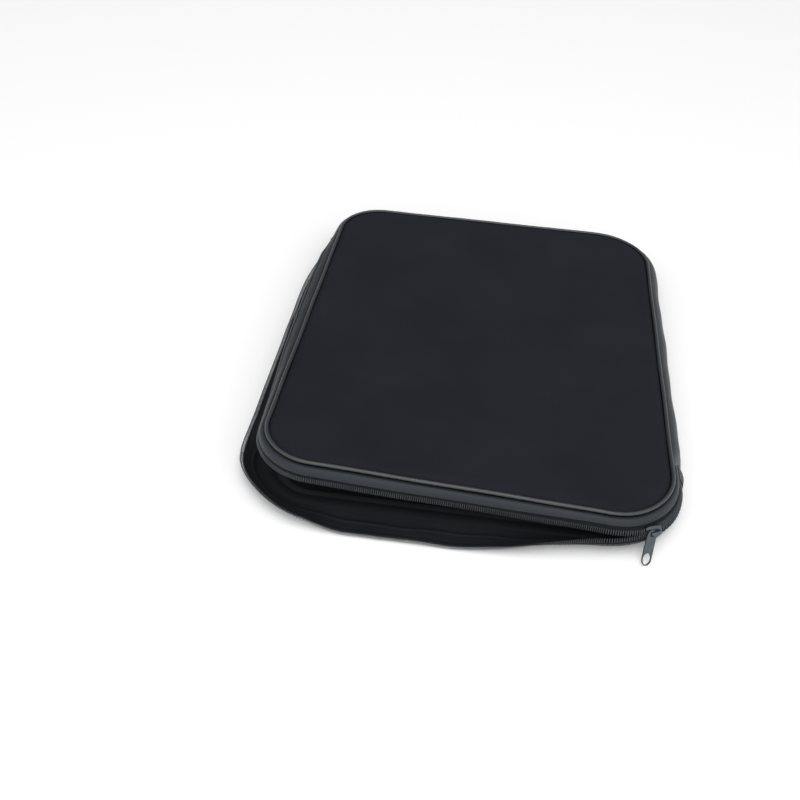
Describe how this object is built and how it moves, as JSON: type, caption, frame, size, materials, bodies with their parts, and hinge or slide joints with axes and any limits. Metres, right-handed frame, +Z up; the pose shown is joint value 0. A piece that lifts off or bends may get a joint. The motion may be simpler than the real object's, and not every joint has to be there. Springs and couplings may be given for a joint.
{
  "type": "laptop sleeve",
  "caption": "Soft foam laptop sleeve with a zip round the front and left sides, its free cover corner lifted and the zip slider parked at the front right corner.",
  "frame": {"origin": "middle of the base panel's outline, on the surface that the sleeve lies on", "axes": "+X to the spine side (right), +Y to the closed back edge, +Z up out of the base panel"},
  "size_m": [0.3214, 0.4097, 0.0445],
  "materials": {
    "shell_cloth": "matt knitted face cloth",
    "foam": "closed-cell foam",
    "piping": "satin bias tape",
    "lining": "smooth woven lining",
    "binding": "woven binding tape",
    "gusset_cloth": "smooth woven cloth",
    "zip_tape": "herringbone tape",
    "zip_coil": "satin polymer coil",
    "zip_metal": "satin gunmetal"
  },
  "bodies": {
    "lower_shell": {"base_binding": "binding", "base_foam": "foam", "base_lining": "lining", "base_outer": "shell_cloth", "base_piping": "piping", "cover_binding_rear": "binding", "cover_foam_rear": "foam", "cover_lining_rear": "lining", "cover_outer_rear": "shell_cloth", "cover_piping_rear": "piping", "lower_gusset": "gusset_cloth", "lower_gusset_lining": "lining", "lower_top_stop": "zip_metal", "lower_zip_coil": "zip_coil", "lower_zip_tape": "zip_tape", "spine_gusset": "gusset_cloth", "upper_gusset_lining_rear": "lining", "upper_gusset_rear": "gusset_cloth", "upper_zip_coil_rear": "zip_coil", "upper_zip_tape_rear": "zip_tape", "zip_bottom_stop": "zip_metal", "zip_end_tab": "gusset_cloth"},
    "flap": {"cover_binding_flap": "binding", "cover_foam_flap": "foam", "cover_lining_flap": "lining", "cover_outer_flap": "shell_cloth", "cover_piping_flap": "piping", "upper_gusset_flap": "gusset_cloth", "upper_gusset_lining_flap": "lining", "upper_zip_coil_flap": "zip_coil", "upper_zip_tape_flap": "zip_tape", "upper_top_stop": "zip_metal"},
    "slider": {"slider_body": "zip_metal", "slider_crown": "zip_metal"},
    "pull": {"pull_tab": "zip_metal"}
  },
  "joints": [
    {"name": "flap_peel", "type": "hinge", "parent": "lower_shell", "child": "flap", "pos_m": [0.12994, -0.17419, 0.03], "axis": [-0.6478, 0.7618, 0], "range_deg": [-4.08, 75], "stiffness_Nm_per_rad": 0.3, "springref_deg": 14.32},
    {"name": "slider_travel", "type": "hinge", "parent": "lower_shell", "child": "slider", "pos_m": [0.096, -0.14025, 0], "axis": [0, 0, 1], "range_deg": [-36, 50], "deforming": ["upper_zip_coil_flap", "upper_zip_coil_rear", "lower_zip_coil", "upper_zip_tape_flap", "upper_zip_tape_rear", "lower_zip_tape"]},
    {"name": "pull_swing", "type": "hinge", "parent": "slider", "child": "pull", "pos_m": [0.12776, -0.19, 0.017], "axis": [-0.5141, 0.7076, -0.4848], "range_deg": [0, 125]}
  ]
}
